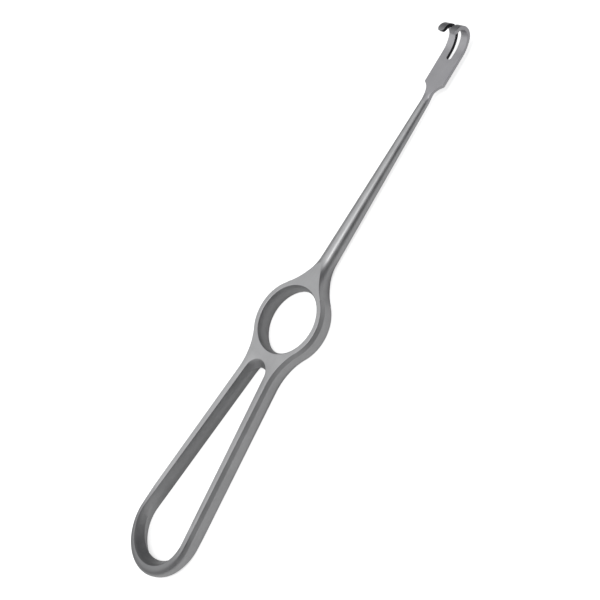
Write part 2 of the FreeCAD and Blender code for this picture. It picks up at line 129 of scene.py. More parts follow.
def ground_noises(tree, coordinates):
    """Scratches that run along the tool, broad clouds and a fine grain."""
    along = add(tree, "ShaderNodeMapping", (-1100, 200), Scale=SCRATCH_STRETCH)
    tree.links.new(coordinates.outputs["Object"], along.inputs["Vector"])
    scratches = add(tree, "ShaderNodeTexNoise", (-900, 200), Scale=1.0, Detail=3.0, Roughness=0.6)
    tree.links.new(along.outputs["Vector"], scratches.inputs["Vector"])
    clouds = add(tree, "ShaderNodeTexNoise", (-900, -60), Scale=CLOUD_SCALE, Detail=4.0)
    grain = add(tree, "ShaderNodeTexNoise", (-900, -320), Scale=GRAIN_SCALE, Detail=1.0)
    for noise in (clouds, grain):
        tree.links.new(coordinates.outputs["Object"], noise.inputs["Vector"])
    return [noise.outputs["Fac"] for noise in (scratches, clouds, grain)]


# %% [markdown]
# ## Painted shade at the ends
#
# The outer round of the loop's far end and the tight hooks get painted shade: a darker grey that
# dims what they mirror. A second material with a hard border would show a line. So the same
# finish fades to the darker grey along one axis, and only on the faces that look up or down.

# %% Paint shade on an end
# How steeply a face looks up or down: 0 for an upright wall and 1 for a level face.
LEVEL_FACES = (0.40, 0.80)


def shade_on_level_faces(tree, coordinates, tint, axis, span, colour):
    """Paints shade on the faces that look up or down, from one place to another along an axis."""
    facing = add(tree, "ShaderNodeSeparateXYZ", (-1100, 760))
    tree.links.new(coordinates.outputs["Normal"], facing.inputs["Vector"])
    level = add(tree, "ShaderNodeMath", (-900, 760))
    level.operation = "ABSOLUTE"
    tree.links.new(facing.outputs["Z"], level.inputs[0])
    parts = add(tree, "ShaderNodeSeparateXYZ", (-1100, 600))
    tree.links.new(coordinates.outputs["Object"], parts.inputs["Vector"])
    share = joined(tree, "MULTIPLY",
                   ranged(tree, parts.outputs[axis], span, (-700, 600)),
                   ranged(tree, level.outputs[0], LEVEL_FACES, (-700, 860)), (-500, 660))
    return blended(tree, share, tint, colour, (-250, 500))


# %% Put the steel together
STEEL_COLOUR = (0.44, 0.44, 0.445, 1.0)
STEEL_CLOUD = (0.62, 0.62, 0.625, 1.0)
# Each noise wavers round 0.5, so the sum of two wavers round 1.
NOISE_SUM = (0.7, 1.3)
BUMP_HEIGHT = 0.02 * MM
BUMP_STRENGTH = 0.35


def ground_steel(name, roughness, deep=STEEL_COLOUR, pale=STEEL_CLOUD,
                 painted_shade=None, bump_height=BUMP_HEIGHT):
    """Satin steel between two roughnesses and two greys, with painted shade on an end or none."""
    material = bpy.data.materials.new(name)
    material.use_nodes = True
    tree = material.node_tree
    shader = tree.nodes["Principled BSDF"]
    shader.inputs["Metallic"].default_value = 1.0
    coordinates = add(tree, "ShaderNodeTexCoord", (-1300, 0))
    scratches, clouds, grain = ground_noises(tree, coordinates)

    tint = blended(tree, clouds, deep, pale, (-500, 360))
    if painted_shade:
        tint = shade_on_level_faces(tree, coordinates, tint, *painted_shade)
    tree.links.new(tint, shader.inputs["Base Color"])

    worn = joined(tree, "ADD", scratches, clouds, (-650, 40))
    rough = ranged(tree, worn, NOISE_SUM, (-450, 40), roughness)
    tree.links.new(rough, shader.inputs["Roughness"])

    height = joined(tree, "ADD", scratches, grain, (-650, -220))
    bump = add(tree, "ShaderNodeBump", (-300, -220), Strength=BUMP_STRENGTH, Distance=bump_height)
    tree.links.new(height, bump.inputs["Height"])
    tree.links.new(bump.outputs["Normal"], shader.inputs["Normal"])
    return material


# %% Mix the finishes
# The darker grey of each end is painted shade on its level faces.
SHADED_HOOK_TIPS = ("Z", (0.0085, 0.0118), (0.35, 0.35, 0.36, 1.0))
SHADED_FAR_END = ("X", (-0.083, -0.098), (0.31, 0.31, 0.315, 1.0))

satin = ground_steel("satin_ground_steel", (0.40, 0.52))
head_finish = ground_steel("satin_head_steel", (0.42, 0.55),
                           (0.46, 0.455, 0.47, 1.0), (0.63, 0.625, 0.645, 1.0), SHADED_HOOK_TIPS)
loop_finish = ground_steel("satin_loop_steel", (0.42, 0.54), painted_shade=SHADED_FAR_END)
shaft_finish = ground_steel("satin_shaft_steel", (0.40, 0.50))
filler_finish = ground_steel("braze_filler", (0.35, 0.50))
# The slot's walls get a near-black grey: painted shade inside the slot.
slot_shade_finish = ground_steel("painted_shade_slot_wall", (0.45, 0.60),
                           (0.035, 0.035, 0.04, 1.0), (0.06, 0.06, 0.065, 1.0),
                           bump_height=0.03 * MM)
for finish in (satin, head_finish, loop_finish, shaft_finish, filler_finish, slot_shade_finish):
    print(finish.name, "has", len(finish.node_tree.nodes), "nodes")

# %% [markdown]
# ## Shaping from squares
#
# The two pieces with the softest forms are the rake head and the grip loop. Both start here as
# a flat sheet of squares, one unit each, so that a corner's place in the sheet is its row and
# its column. A rule then lays every corner on the real form. This keeps the mesh in clean bands
# that follow the metal, which takes light far better than triangles cut by a slicer would.

# %% Make a sheet of squares
def sheet_of_squares(rows, columns):
    """A flat sheet whose corners stand at whole numbers: x is the row and y the column."""
    shape = bmesh.new()
    bmesh.ops.create_grid(shape, x_segments=rows, y_segments=columns, size=0.5)
    bmesh.ops.translate(shape, vec=(0.5, 0.5, 0.0), verts=shape.verts)
    bmesh.ops.scale(shape, vec=(rows, columns, 1.0), verts=shape.verts)
    return shape


# %% Space the rows and soften a change
QUARTER = math.pi / 2


def evenly(first, last, count):
    """Even steps from first to last, without first itself."""
    return [first + (last - first) * (k + 1) / count for k in range(count)]


def smooth_step(value, first, last):
    """0 before first, 1 after last and an even S between them."""
    share = min(max((value - first) / (last - first), 0.0), 1.0)
    return share * share * (3 - 2 * share)


print("an S in five steps:", [round(smooth_step(k, 0, 4), 2) for k in range(5)])

# %% [markdown]
# ## From a shape to a piece
#
# A finished shape is welded, turned face outwards and brought from millimetres to metres. Then
# it stands in the scene in place of its CAD node. Counting the edges that don't have a face on
# each side shows at once whether the piece is closed, and printing its box beside its node's
# box shows whether it has kept its size.

# %% Turn a shape into a piece
WELD_DISTANCE = 0.004


def finished_piece(name, shape, node, sharp_angle):
    """Turns a shape in millimetres into a smooth-shaded piece that stands for a node."""
    bmesh.ops.remove_doubles(shape, verts=shape.verts, dist=WELD_DISTANCE)
    bmesh.ops.recalc_face_normals(shape, faces=shape.faces)
    open_edges = sum(1 for edge in shape.edges if not edge.is_manifold)
    bmesh.ops.scale(shape, vec=(MM, MM, MM), verts=shape.verts)
    for face in shape.faces:
        face.smooth = True
    mesh = bpy.data.meshes.new(name)
    shape.to_mesh(mesh)
    shape.free()
    mesh.set_sharp_from_angle(angle=sharp_angle)
    piece = bpy.data.objects.new(name, mesh)
    bpy.context.scene.collection.objects.link(piece)
    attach(piece, "root")
    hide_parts(node)
    print(f"{name}: {len(mesh.polygons)} faces, {open_edges} open edges")
    return piece


# %% Compare a piece with its node
def compare_boxes(piece, node):
    """Prints where a drawn piece and its CAD node start and end along each axis."""
    built_low, built_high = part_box(node)
    for axis, letter in enumerate("xyz"):
        drawn = [vert.co[axis] / MM for vert in piece.data.vertices]
        print(f"{piece.name} along {letter}: drawn {min(drawn):.2f} to {max(drawn):.2f},"
              f" built {built_low[axis] / MM:.2f} to {built_high[axis] / MM:.2f} mm")


# %% [markdown]
# ## The rake head
#
# On the real tool the head is forged in one with its neck: the round neck is hammered out into
# a plate, the plate is slotted, and the two prongs are bent back over a former. The sheet goes
# the same way. It starts as a flat strip that is measured, cut to its outline and slotted, and
# the bends come last. All its sizes are in millimetres, and a way is a distance from the seam
# with the shaft, along the strip.

# %% Measure the strip before it is bent
RISE_START = 20.9
RISE_RADIUS = 12.0
RISE_ANGLE = math.radians(28)
HOOK_RADIUS = 2.9
HOOK_TURN = math.radians(193)
HOOK_START = RISE_START + RISE_RADIUS * RISE_ANGLE
STRIP_LENGTH = HOOK_START + HOOK_RADIUS * (HOOK_TURN - RISE_ANGLE)
print(f"the head's strip is {STRIP_LENGTH:.1f} mm long before it is bent")

# %% [markdown]
# ## The strip's outline
#
# From above, the strip runs from the slim neck through a concave shoulder and a small round
# corner to the plate's full width, and each prong ends in a blunt round tip. The shoulder and
# the corner are two arcs that touch, so where one hands over to the other follows from their
# radii, and no corner point has to be chosen by eye.

# %% Cut the outline
NECK_RADIUS = 1.62
NECK_HALF = 1.45
PLATE_HALF = 4.4
SHOULDER = 7.8
SHOULDER_FILLET = 5.5
CORNER = 0.8
TIP_ROUND = 1.15
SHOULDER_CENTRE = SHOULDER_FILLET - PLATE_HALF + NECK_HALF
FILLET_FOOT = SHOULDER - math.sqrt(SHOULDER_FILLET ** 2 - SHOULDER_CENTRE ** 2)
BOTH_ARCS = SHOULDER_FILLET + CORNER
CORNER_TO = FILLET_FOOT + math.sqrt(BOTH_ARCS ** 2 - (SHOULDER_CENTRE + CORNER) ** 2)
CORNER_FROM = FILLET_FOOT + (CORNER_TO - FILLET_FOOT) * SHOULDER_FILLET / BOTH_ARCS


def tip_cut(way):
    """How far each side of a prong has drawn in at its rounded end."""
    reach = way - (STRIP_LENGTH - TIP_ROUND)
    if reach <= 0:
        return 0.0
    return TIP_ROUND - math.sqrt(max(TIP_ROUND ** 2 - reach ** 2, 0.0))


def outer_edge(way):
    """Half the strip's width along its way: neck, concave shoulder, corner, plate and tip."""
    if way < FILLET_FOOT:
        return NECK_RADIUS + (NECK_HALF - NECK_RADIUS) * way / FILLET_FOOT
    if way < CORNER_FROM:
        return NECK_HALF + SHOULDER_FILLET - math.sqrt(SHOULDER_FILLET ** 2 - (way - FILLET_FOOT) ** 2)
    if way < CORNER_TO:
        return PLATE_HALF - CORNER + math.sqrt(CORNER ** 2 - (CORNER_TO - way) ** 2)
    return PLATE_HALF - tip_cut(way)


print("half widths:", [round(outer_edge(way), 2) for way in (0.0, FILLET_FOOT, CORNER_FROM, CORNER_TO)])

# %% [markdown]
# ## The slot
#
# The real slot is milled: it has a round root and opens a little towards the hooks, where it
# parts the two prongs. Cutting it out of a finished solid would leave slivers. Here two columns
# of the sheet run where its walls will be: they meet where the slot starts and follow its round
# root apart. The squares between them are left out later.

# %% Mark the slot
SLOT_START = 18.0
SLOT_ROOT = 1.1
SLOT_MOUTH = 1.25
COLUMN_SHARE = 0.3


def inner_edge(way):
    """Half the slot's width, or where the slot's columns run before the slot starts."""
    if way <= SLOT_START:
        return COLUMN_SHARE * outer_edge(way) * (1 - smooth_step(way, SHOULDER, SLOT_START))
    root = SLOT_START + SLOT_ROOT
    if way < root:
        return math.sqrt(SLOT_ROOT ** 2 - (root - way) ** 2)
    mouth = min((way - root) / (HOOK_START - root), 1.0)
    return SLOT_ROOT + (SLOT_MOUTH - SLOT_ROOT) * mouth + tip_cut(way)


print(f"the slot opens from {2 * SLOT_ROOT:.1f} mm at its root to {2 * inner_edge(HOOK_START):.1f} mm")

# %% Space the cross rows
NECK_ROWS, SHOULDER_ROWS, CORNER_ROWS, PLATE_ROWS = 12, 14, 6, 10
ROOT_ROWS, LEVEL_ROWS, RISE_ROWS, HOOK_ROWS, TIP_ROWS = 6, 2, 12, 26, 7
BURIED = 0.5


def slowing(first, last, count):
    """Steps that get shorter towards the last, as an arc's do where it runs out."""
    return [first + (last - first) * math.sin(QUARTER * k / count) for k in range(1, count + 1)]


def head_rows():
    """The ways at which a cross row lies, closer together where the shape turns."""
    root, tip = SLOT_START + SLOT_ROOT, STRIP_LENGTH - TIP_ROUND
    rows = [-BURIED, 0.0]
    rows += evenly(0.0, FILLET_FOOT, NECK_ROWS)
    rows += evenly(FILLET_FOOT, CORNER_FROM, SHOULDER_ROWS)
    rows += slowing(CORNER_FROM, CORNER_TO, CORNER_ROWS)
    rows += evenly(CORNER_TO, SLOT_START, PLATE_ROWS)
    rows += [root - SLOT_ROOT * math.cos(QUARTER * k / ROOT_ROWS) for k in range(1, ROOT_ROWS + 1)]
    rows += evenly(root, RISE_START, LEVEL_ROWS)
    rows += evenly(RISE_START, HOOK_START, RISE_ROWS)
    rows += evenly(HOOK_START, tip, HOOK_ROWS)
    rows += slowing(tip, STRIP_LENGTH, TIP_ROWS)
    return rows


print(len(head_rows()), "cross rows")

# %% [markdown]
# ## From a round neck to a flat plate
#
# A round bar simply joined to a flat one would show a hard step. So every cross row lies on a
# section that changes slowly: at the seam its columns stand round the neck, and further on they
# settle on the plate's two flat faces. Above, that takes about four millimetres. Below, a low
# spine runs on to ten. The first row is buried in the shaft, so that no line shows at the seam.

# %% Shape the cross section
shaft_low, shaft_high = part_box("shaft")
SEAM_X = shaft_high.x / MM
AXIS_Z = (shaft_low.z + shaft_high.z) / 2 / MM
FACE, BACK = 1.25, -0.15
NECK_TAPER = 0.022
NECK_WRAP = math.radians(78)
BURIED_STEP = 0.06
UPPER_CHANGE, LOWER_CHANGE = (-0.4, 4.4), (0.0, 4.2)
SPINE_LENGTH = 10.5


def section_height(way, y, upper):
    """Where the metal's upper or lower face lies, and how far out, at a place on the flat strip."""
    radius = NECK_RADIUS - NECK_TAPER * way
    if way < 0:
        radius -= BURIED_STEP
    lean = y / outer_edge(way) * NECK_WRAP
    round_y, round_z = radius * math.sin(lean), radius * math.cos(lean)
    if upper:
        flat = smooth_step(way, *UPPER_CHANGE)
        return round_y + (y - round_y) * flat, round_z + (FACE - round_z) * flat
    crown = max(1 - (y / NECK_RADIUS) ** 2, 0.0) * (NECK_RADIUS + BACK)
    spine = BACK - crown * (1 - smooth_step(way, 0.0, SPINE_LENGTH))
    flat = smooth_step(way, *LOWER_CHANGE)
    return round_y + (y - round_y) * flat, -round_z + (spine + round_z) * flat


print(f"the seam stands at x {SEAM_X:.1f} mm and the shaft's axis {AXIS_Z:.2f} mm up")

# %% Bend the strip
def bent(way, z):
    """The side view: a point of the flat strip carried round the gentle rise and the tight hook."""
    depth = FACE - z
    if way <= RISE_START:
        return way, z
    centre = Vector((RISE_START, FACE + RISE_RADIUS))
    if way <= HOOK_START:
        lean = (way - RISE_START) / RISE_RADIUS
        arm = RISE_RADIUS + depth
    else:
        centre += Vector((math.sin(RISE_ANGLE), -math.cos(RISE_ANGLE))) * (RISE_RADIUS - HOOK_RADIUS)
        lean = RISE_ANGLE + (way - HOOK_START) / HOOK_RADIUS
        arm = HOOK_RADIUS + depth
    return centre.x + arm * math.sin(lean), centre.y - arm * math.cos(lean)


tip_x, tip_z = bent(STRIP_LENGTH, FACE)
print(f"the prongs' tips end {tip_x:.1f} mm past the seam and {tip_z - FACE:.1f} mm above the plate")

# %% [markdown]
# ## Making the head
#
# Now the sheet gets its real form. First the squares of the slot are taken out, then the sheet
# gets a second side, which closes its edges and makes the slot's walls. These walls are marked
# for a near-black finish, which is painted shade inside the slot. Last, every corner is laid on
# the section and carried round the bends.

# %% Slot the sheet
PRONG_COLUMNS = 5
MIDDLE = PRONG_COLUMNS + 1
SHADED_SLOT_WALLS = 1


def across(way, column):
    """The place of a column across the strip."""
    side = -1 if column < MIDDLE else 1
    steps = abs(column - MIDDLE)
    if steps == 0:
        return 0.0
    inner, outer = inner_edge(way), outer_edge(way)
    return side * (inner + (outer - inner) * (steps - 1) / PRONG_COLUMNS)


def slotted_sheet(row_count, slot_row):
    """A sheet with two sides and the slot left open, and the height midway between its sides."""
    shape = sheet_of_squares(row_count - 1, 2 * MIDDLE)
    waste = [face for face in shape.faces
             if face.calc_center_median().x > slot_row
             and abs(face.calc_center_median().y - MIDDLE) < 1]
    bmesh.ops.delete(shape, geom=waste, context="FACES")
    bmesh.ops.solidify(shape, geom=shape.faces[:], thickness=1.0)
    middle_height = sum(vert.co.z for vert in shape.verts) / len(shape.verts)
    for face in shape.faces:
        columns = {round(vert.co.y) for vert in face.verts}
        upright = len({vert.co.z > middle_height for vert in face.verts}) == 2
        past_root = face.calc_center_median().x >= slot_row
        if upright and past_root and columns <= {MIDDLE - 1, MIDDLE, MIDDLE + 1}:
            face.material_index = SHADED_SLOT_WALLS
    return shape, middle_height


# %% Lay the sheet on the head's form
HEAD_SHARP = math.radians(40)


def make_rake_head():
    """The neck, plate and hooked prongs in one closed shape."""
    rows = head_rows()
    shape, middle_height = slotted_sheet(len(rows), rows.index(SLOT_START))
    for vert in shape.verts:
        way = rows[round(vert.co.x)]
        upper = vert.co.z > middle_height
        y, z = section_height(way, across(way, round(vert.co.y)), upper)
        x, z = bent(way, z)
        vert.co = (SEAM_X + x, y, AXIS_Z + z)
    return finished_piece("forged_rake_head", shape, "rake_head", HEAD_SHARP)


rake_head = make_rake_head()
compare_boxes(rake_head, "rake_head")

# %% [markdown]
# ## Eased edges
#
# A blunt retractor must not cut a glove, so every edge of the plate and the prongs is broken
# with a fine stone. A dead sharp edge also looks wrong, because it catches no light. A small
# bevel on the sharp edges alone gives each its thin bright line, and leaves the smooth faces
# as they are.

# %% Ease the head's edges
EASED_WIDTH = 0.10
EASED_ANGLE = math.radians(48)


def ease_edges(piece):
    """Rounds the sharp edges of a piece by a tenth of a millimetre."""
    edges = piece.modifiers.new("eased_edges", "BEVEL")
    edges.width = EASED_WIDTH * MM
    edges.segments = 2
    edges.limit_method = "ANGLE"
    edges.angle_limit = EASED_ANGLE
    edges.use_clamp_overlap = False
    edges.harden_normals = True


ease_edges(rake_head)
print("eased:", [modifier.name for modifier in rake_head.modifiers])

# %% [markdown]
# ## The grip loop
#
# The loop is a drop forging. Its arms have a flat ground land above, a bevel and an upright
# band, but at the far end the grinder only kisses the inner edge, so there the metal keeps the
# round back of the forging. A plain outline pushed up to a height can't do that. So the sheet
# is rolled into a tube: its rows go round the hole and its columns go round the section, and
# the section changes from bevelled to round as a row nears the far end.

# %% Draw the hole
# Far centre, far radius, near centre and near radius, at the land and at mid thickness. Centres
# are distances from the ring's centre along the tool's middle line.
HOLE_TOP = (81.5, 12.25, 21.5, 5.05)
HOLE_MIDDLE = (79.95, 11.6, 23.15, 4.4)
FAR_ROWS, ARM_ROWS, FLANK_ROWS, SEAM_ROWS = 40, 30, 12, 10


def on_round(centre, radius, angle):
    """The point of a circle at an angle."""
    return centre + Vector((math.cos(angle), math.sin(angle))) * radius


def hole_half(far_centre, far_radius, near_centre, near_radius):
    """Half the hole's outline, from its far end round to the web, one point for each row."""
    lean = math.acos((far_radius - near_radius) / (far_centre - near_centre))
    far, near = Vector((-far_centre, 0.0)), Vector((-near_centre, 0.0))
    points = [on_round(far, far_radius, a) for a in [math.pi] + evenly(math.pi, lean, FAR_ROWS)]
    start, end = points[-1], on_round(near, near_radius, lean)
    points += [start.lerp(end, share) for share in evenly(0, 1, ARM_ROWS)]
    points += [on_round(near, near_radius, a) for a in evenly(lean, 0, FLANK_ROWS + SEAM_ROWS)]
    return points


hole = hole_half(*HOLE_TOP)
print(f"the hole is {hole[-1].x - hole[0].x:.1f} mm long and {2 * max(p.y for p in hole):.1f} mm wide")

# %% [markdown]
# ## The outside of the loop
#
# Outside, each arm runs straight from the round far end and then swings out through a concave
# flank into the finger ring. The flank is one large arc whose centre lies beside the web, so it
# touches both the arm and the ring without a kink. Hole and outside have as many points as each
# other, row by row, so that a section can be laid between each pair.

# %% Draw the outside
# Far centre, far radius, the flank's radius and the ring's radius, at the land and at the band.
OUTSIDE_TOP = (81.85, 14.0, 21.0, 14.4)
OUTSIDE_MIDDLE = (82.5, 14.65, 20.35, 15.05)
FLANK_HEIGHT = 28.6
SEAM = -15.0


def outside_half(far_centre, far_radius, fillet, ring_radius):
    """The outside from the far end along the arm and the web's flank, then down the seam."""
    flank = Vector((-math.sqrt((ring_radius + fillet) ** 2 - FLANK_HEIGHT ** 2), FLANK_HEIGHT))
    far = Vector((-far_centre, 0.0))
    between = flank - far
    lean = math.atan2(between.y, between.x) + math.acos((far_radius + fillet) / between.length)
    points = [on_round(far, far_radius, a) for a in [math.pi] + evenly(math.pi, lean, FAR_ROWS)]
    start, end = points[-1], on_round(flank, -fillet, lean)
    points += [start.lerp(end, share) for share in evenly(0, 1, ARM_ROWS)]
    last = -math.acos((SEAM - flank.x) / fillet)
    points += [on_round(flank, fillet, a) for a in evenly(lean - math.pi, last, FLANK_ROWS)]
    corner = points[-1]
    points += [corner.lerp(Vector((SEAM, 0.0)), share) for share in evenly(0, 1, SEAM_ROWS)]
    return points


print(len(hole), "points along half the hole and", len(outside_half(*OUTSIDE_TOP)), "outside")

# %% [markdown]
# ## The loop's section
#
# The upper half of the section starts at mid thickness on the hole's wall, climbs the leaning
# wall, turns over a soft edge onto the flat land, and comes down the bevel to the upright band.
# The crease between land and bevel looks crisp only if a few corners stand close together on
# each side of it. Where a row nears the far end, the same corners slide over to a round back.

# %% Climb the hole's wall
HALF = 3.25
EDGE = 0.15
EDGE_ANGLES = (math.radians(30), math.radians(60))
WALL_SHARES = (0.0, 0.3, 0.6)


def hole_wall(hole_top, hole_middle):
    """The corners from mid thickness up the leaning wall and over the soft edge to the land."""
    away = (hole_top - hole_middle).normalized()
    wall = [(hole_middle.lerp(hole_top, share), share * HALF) for share in WALL_SHARES]
    wall.append((hole_middle.lerp(hole_top, (HALF - EDGE) / HALF), HALF - EDGE))
    wall += [(hole_top + away * (EDGE * (1 - math.cos(a))), HALF - EDGE * (1 - math.sin(a)))
             for a in EDGE_ANGLES]
    wall.append((hole_top + away * EDGE, HALF))
    return wall


# %% Come down the outside
# How far in from the band each corner stands, and how far above mid thickness.
BEVEL_STEPS = ((0.82, 3.25), (0.732, 3.25), (0.685, 3.24), (0.646, 3.213), (0.620, 3.173),
               (0.592, 3.10), (0.40, 2.596), (0.20, 2.073), (0.05, 1.681), (0.025, 1.61),
               (0.005, 1.53), (0.0, 1.45), (0.0, 1.36))
BULGE = 0.65
LAND_STEPS = 5
ROUND_LOW = 0.5
ROUND_REACH = 0.96


def bevelled_side(land, out_top, out_middle, round_share):
    """The corners from the land over the bevel to the band, or over the round back of the end."""
    out = (out_middle - out_top).normalized()
    corners = []
    for k, (inset, height) in enumerate(BEVEL_STEPS):
        if inset <= BULGE:
            bevelled = out_middle.lerp(out_top, inset / BULGE)
        else:
            bevelled = out_top - out * (inset - BULGE)
        lean = QUARTER * (1 - k / (len(BEVEL_STEPS) - 1))
        rounded = out_middle.lerp(land, (1 - math.cos(lean)) * ROUND_REACH)
        round_height = ROUND_LOW + (HALF - ROUND_LOW) * math.sin(lean)
        corners.append((bevelled.lerp(rounded, round_share),
                        height + (round_height - height) * round_share))
    return corners


def seam_side(out_top):
    """The same corners in the seam, where the web ends in an upright face."""
    return [(out_top, HALF if k < LAND_STEPS else height)
            for k, (_, height) in enumerate(BEVEL_STEPS)]


# %% [markdown]
# ## Rolling the loop
#
# The two arms are alike but not quite: on the arm at the near side, the bevel runs a little
# further towards the far end before it fades. So the halves are worked out one by one, each
# row from its upper section and the same corners turned over for the lower one. Then every
# corner of the sheet is laid on its row and column, and the sheet's ends meet.

# %% Work out the rows
# Where the bevel starts to fade and is gone, for the arm on the far side (1) and the near one.
ROUND_FROM = {1: 71.0, -1: 76.0}
ROUND_TO = {1: 90.0, -1: 93.0}


def upper_section(hole_top, hole_middle, out_top, out_middle, on_seam, side):
    """The section's corners from the hole's middle line over the land to the outer band."""
    wall = hole_wall(hole_top, hole_middle)
    if on_seam:
        return wall + seam_side(out_top)
    round_share = smooth_step(-out_middle.x, ROUND_FROM[side], ROUND_TO[side])
    land = wall[-1][0]
    return wall + bevelled_side(land, out_top, out_middle, round_share)


def half_rows(side):
    """The rows of one arm, from the far end to the middle of the seam."""
    outlines = zip(hole_half(*HOLE_TOP), hole_half(*HOLE_MIDDLE),
                   outside_half(*OUTSIDE_TOP), outside_half(*OUTSIDE_MIDDLE))
    rows = []
    for k, places in enumerate(outlines):
        upper = upper_section(*places, k > FAR_ROWS + ARM_ROWS + FLANK_ROWS, side)
        lower = [(place, -height) for place, height in reversed(upper[1:])]
        rows.append([Vector((p.x, side * p.y, height)) for p, height in upper + lower])
    return rows


arm_rows = {side: half_rows(side) for side in (1, -1)}
print(len(arm_rows[1]), "rows for each arm, with", len(arm_rows[1][0]), "corners in each")

# %% Roll the loop
RING_REACH = 25.38
RING_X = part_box("finger_ring")[1].x / MM - RING_REACH
LOOP_SHARP = math.radians(35)


def make_grip_loop():
    """The loop from its far end to the seam in the web, both arms."""
    rows = arm_rows[1] + arm_rows[-1][-2:0:-1]
    columns = len(rows[0])
    shape = sheet_of_squares(len(rows), columns)
    for vert in shape.verts:
        place = rows[round(vert.co.x) % len(rows)][round(vert.co.y) % columns]
        vert.co = place + Vector((RING_X, 0.0, HALF))
    return finished_piece("forged_grip_loop", shape, "grip_loop", LOOP_SHARP)


grip_loop = make_grip_loop()
compare_boxes(grip_loop, "grip_loop")

# %% [markdown]
# ## Dressing the pieces
#
# The finger ring and the shaft are plain turned and ground work, and their CAD faces already
# show it, so they keep these faces and only get a finish. Head and loop get their own mixes, and
# the head's second finish, a near-black painted shade, goes to the walls of its slot. The three
# fillings lie inside the joints, where nothing of them shows, and get a plain mix.

# %% Dress the pieces
NODE_FINISHES = {"shaft": shaft_finish, "web_braze": filler_finish,
                 "root_braze": filler_finish, "neck_braze": filler_finish}
for name, node in nodes.items():
    finish = NODE_FINISHES.get(name, satin)
    if not node.data.materials:
        node.data.materials.append(finish)
    for slot in node.material_slots:
        slot.material = finish
rake_head.data.materials.append(head_finish)
rake_head.data.materials.append(slot_shade_finish)
grip_loop.data.materials.append(loop_finish)
for piece in (rake_head, grip_loop):
    print(piece.name, "wears", [material.name for material in piece.data.materials])

# %% [markdown]
# ## The studio floor
#
# The tool lies on its back on white paper. Steel shows what stands round it, so a photographer
# keeps the paper bright behind the tool and the room dim on the near side, which gives the
# bevels their dark bands. One plain white floor would wash them out. A floor in a render can do
# both: the camera sees pale paper that keeps the tool's shadow, and the steel mirrors a darker
# sheet, whose glow fades to a dark table on the near side and is low inside the loop and ring.

# %% Make the floor
FLOOR_SIZE = 4.0


def plain_floor():
    """A wide flat sheet under the tool."""
    shape = bmesh.new()
    bmesh.ops.create_grid(shape, x_segments=1, y_segments=1, size=FLOOR_SIZE / 2)
    mesh = bpy.data.meshes.new("floor")
    shape.to_mesh(mesh)
    shape.free()
    floor = bpy.data.objects.new("floor", mesh)
    bpy.context.scene.collection.objects.link(floor)
    return floor


floor = plain_floor()
print(f"the floor is {floor.dimensions.x:.0f} m wide")

# %% Darken the sheet that the steel mirrors
SHEET_COLOUR = (0.50, 0.50, 0.50, 1.0)
TABLE_COLOUR = (0.12, 0.12, 0.125, 1.0)
SHEET_GLOW = 0.25
# The glow left inside loop and ring: a painted shadow that the steel mirrors there.
INSIDE_GLOW = 0.15
# Where the sheet gives way to the table, along y in metres.
SHEET_EDGE = (-0.028, -0.055)
# Where the floor inside loop and ring ends: on the near side, past the ring and past the loop.
HOLE_ENDS = (("Y", (-0.006, -0.012)), ("X", (0.010, 0.016)), ("X", (-0.086, -0.098)))
WHOLE = (0.0, 1.0)


def light_left(tree, parts):
    """The share of the sheet's glow that is left: all of it in the open, little in the holes, as a
    painted shadow.
    """
    near_side, past_ring, past_loop = [
        ranged(tree, parts.outputs[axis], span, (-1100, -650 - 250 * k))
        for k, (axis, span) in enumerate(HOLE_ENDS)]
    past_an_end = joined(tree, "MAXIMUM", past_ring, past_loop, (-850, -900))
    in_the_open = joined(tree, "MAXIMUM", near_side, past_an_end, (-650, -700))
    return ranged(tree, in_the_open, WHOLE, (-400, -700), (INSIDE_GLOW, 1.0))


def mirrored_sheet(tree, parts):
    """The colour and the glow of the floor as the steel mirrors it."""
    beyond = ranged(tree, parts.outputs["Y"], SHEET_EDGE, (-1100, 200))
    colour = blended(tree, beyond, SHEET_COLOUR, TABLE_COLOUR, (-700, 200))
    glow = ranged(tree, beyond, WHOLE, (-900, -450), (SHEET_GLOW, 0.0))
    return colour, joined(tree, "MULTIPLY", glow, light_left(tree, parts), (-200, -500))


# %% Show the camera pale paper
PAPER_COLOUR = (0.80, 0.80, 0.80, 1.0)
PAPER_LIFT = 0.70
PAPER_ROUGHNESS = 0.9
PAPER_SHINE = 0.1
WHITE = (1.0, 1.0, 1.0, 1.0)


def paper_finish():
    """Pale paper to the camera, with the tool's shadow on it, and a darker sheet to the steel."""
    material = bpy.data.materials.new("studio_paper")
    material.use_nodes = True
    tree = material.node_tree
    shader = tree.nodes["Principled BSDF"]
    shader.inputs["Roughness"].default_value = PAPER_ROUGHNESS
    shader.inputs["Specular IOR Level"].default_value = PAPER_SHINE
    shader.inputs["Emission Color"].default_value = WHITE
    coordinates = add(tree, "ShaderNodeTexCoord", (-1500, 200))
    parts = add(tree, "ShaderNodeSeparateXYZ", (-1300, 200))
    tree.links.new(coordinates.outputs["Object"], parts.inputs["Vector"])
    mirrored, mirrored_glow = mirrored_sheet(tree, parts)

    path = add(tree, "ShaderNodeLightPath", (-900, -200))
    to_camera, to_steel = path.outputs["Is Camera Ray"], path.outputs["Is Glossy Ray"]
    colour = blended(tree, to_steel, PAPER_COLOUR, mirrored, (-400, 200))
    tree.links.new(colour, shader.inputs["Base Color"])
    lift = ranged(tree, to_camera, WHOLE, (-250, -200), (0.0, PAPER_LIFT))
    glow = joined(tree, "MULTIPLY", to_steel, mirrored_glow, (-50, -400))
    strength = joined(tree, "ADD", lift, glow, (150, -200))
    tree.links.new(strength, shader.inputs["Emission Strength"])
    return material


floor.data.materials.append(paper_finish())
print("the floor wears", floor.data.materials[0].name)

